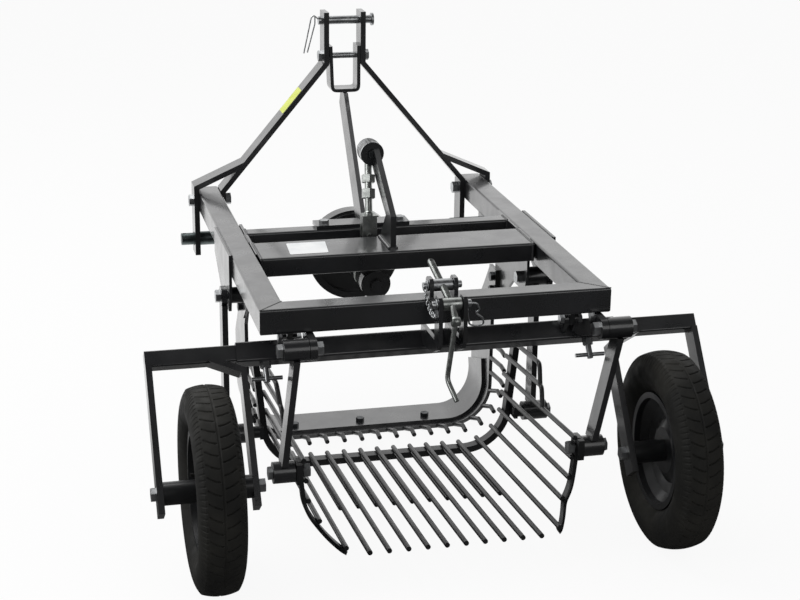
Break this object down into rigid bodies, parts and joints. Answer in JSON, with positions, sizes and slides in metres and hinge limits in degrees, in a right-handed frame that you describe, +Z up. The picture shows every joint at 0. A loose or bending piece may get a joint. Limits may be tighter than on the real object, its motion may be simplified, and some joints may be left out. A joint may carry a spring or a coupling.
{
  "type": "mounted vibrating potato digger",
  "caption": "Tractor-mounted potato digger: steel frame with headstock, U-shaped share, swinging tined sieve on links, flywheel drive and a depth axle with wheels.",
  "frame": {"origin": "on the ground under the centre of the machine's footprint", "axes": "+Y forward to the tractor, +X to the right, +Z up"},
  "size_m": [1.128, 1.2009, 0.922],
  "materials": {
    "black_paint": "satin",
    "zinc_plate": "satin",
    "bright_steel": "polished",
    "cast_iron_black": "satin",
    "tyre_rubber": "matte"
  },
  "bodies": {
    "frame": {"rail_left": "black_paint", "rail_right": "black_paint", "rear_tube": "black_paint", "middle_cross_tube": "black_paint", "front_cross_tube": "black_paint", "side_plates_left": "black_paint", "side_plates_right": "black_paint", "mast_bar_left": "black_paint", "mast_bar_right": "black_paint", "hitch_brackets": "black_paint", "hitch_pins": "zinc_plate", "headstock_bolts": "zinc_plate", "mast_strap": "black_paint", "top_link_pin": "zinc_plate", "mast_brace": "black_paint", "share_hoop": "black_paint", "share_blade": "black_paint", "share_tines": "black_paint", "share_bolts": "zinc_plate", "bearing_plates": "black_paint", "stay_post": "black_paint", "stay_rod": "bright_steel", "hanger_brackets": "black_paint", "hinge_lugs": "black_paint", "link_pins": "zinc_plate", "screw_trunnion_upper": "black_paint"},
    "axle": {"axle_beam": "black_paint", "axle_ears": "black_paint", "axle_pins": "zinc_plate", "clamp_screws": "zinc_plate", "screw_trunnion_lower": "black_paint"},
    "arm_left": {"wheel_arm_left": "black_paint", "wheel_axle_left": "zinc_plate"},
    "arm_right": {"wheel_arm_right": "black_paint", "wheel_axle_right": "zinc_plate"},
    "wheel_left": {"tyre_left": "tyre_rubber", "rim_left": "black_paint"},
    "wheel_right": {"tyre_right": "tyre_rubber", "rim_right": "black_paint"},
    "nut": {"screw_nut": "zinc_plate"},
    "screw": {"depth_screw": "bright_steel"},
    "drive": {"pto_shaft": "bright_steel", "flywheel": "cast_iron_black"},
    "link_front_left": {"link_front_left": "black_paint"},
    "link_front_right": {"link_front_right": "black_paint"},
    "link_rear_left": {"link_rear_left": "black_paint"},
    "link_rear_right": {"link_rear_right": "black_paint"},
    "sieve": {"sieve_hoop": "black_paint", "sieve_tines": "black_paint", "sieve_side_rods_left": "black_paint", "sieve_side_rods_right": "black_paint", "sieve_strap_left": "black_paint", "sieve_strap_right": "black_paint", "sieve_pins": "zinc_plate"}
  },
  "joints": [
    {"name": "axle_swing", "type": "hinge", "parent": "frame", "child": "axle", "pos_m": [0, -0.2775, 0.438], "axis": [1, 0, 0], "range_deg": [-10, 12]},
    {"name": "nut_swivel", "type": "hinge", "parent": "frame", "child": "nut", "pos_m": [0.011, -0.3045, 0.534], "axis": [1, 0, 0], "range_deg": [-10, 12]},
    {"name": "screw_slide", "type": "slide", "parent": "nut", "child": "screw", "axis": [0, -0.9749, -0.2228], "range_m": [-0.01732, 0.02077]},
    {"name": "arm_slide_left", "type": "slide", "parent": "axle", "child": "arm_left", "axis": [-1, 0, 0], "range_m": [0, 0.06]},
    {"name": "arm_slide_right", "type": "slide", "parent": "axle", "child": "arm_right", "axis": [1, 0, 0], "range_m": [0, 0.06]},
    {"name": "wheel_spin_left", "type": "hinge", "parent": "arm_left", "child": "wheel_left", "pos_m": [-0.452, -0.4045, 0.196], "axis": [1, 0, 0], "continuous": true},
    {"name": "wheel_spin_right", "type": "hinge", "parent": "arm_right", "child": "wheel_right", "pos_m": [0.452, -0.4045, 0.196], "axis": [1, 0, 0], "continuous": true},
    {"name": "drive_spin", "type": "hinge", "parent": "frame", "child": "drive", "pos_m": [-0.032, 0.2905, 0.419], "axis": [0, 1, 0], "continuous": true},
    {"name": "link_swing_front_left", "type": "hinge", "parent": "frame", "child": "link_front_left", "pos_m": [-0.355, 0.0685, 0.417], "axis": [1, 0, 0], "range_deg": [-3, 3]},
    {"name": "link_swing_front_right", "type": "hinge", "parent": "frame", "child": "link_front_right", "pos_m": [0.32, 0.0685, 0.417], "axis": [1, 0, 0], "range_deg": [-3, 3]},
    {"name": "link_swing_rear_left", "type": "hinge", "parent": "frame", "child": "link_rear_left", "pos_m": [-0.283, -0.3575, 0.442], "axis": [1, 0, 0], "range_deg": [-3.84, 3.84]},
    {"name": "link_swing_rear_right", "type": "hinge", "parent": "frame", "child": "link_rear_right", "pos_m": [0.352, -0.3575, 0.442], "axis": [1, 0, 0], "range_deg": [-3.84, 3.84]},
    {"name": "sieve_pivot", "type": "hinge", "parent": "link_front_left", "child": "sieve", "pos_m": [-0.34, 0.0685, 0.105], "axis": [1, 0, 0], "range_deg": [-3, 3]}
  ],
  "couplings": [
    {"joint": "nut_swivel", "follows": "axle_swing", "ratio": 1},
    {"joint": "screw_slide", "follows": "axle_swing", "m_per_rad": 0.09895},
    {"joint": "link_swing_front_right", "follows": "link_swing_front_left", "ratio": 1},
    {"joint": "link_swing_rear_left", "follows": "link_swing_front_left", "ratio": 1.2787},
    {"joint": "link_swing_rear_right", "follows": "link_swing_front_left", "ratio": 1.2787},
    {"joint": "sieve_pivot", "follows": "link_swing_front_left", "ratio": -1}
  ]
}
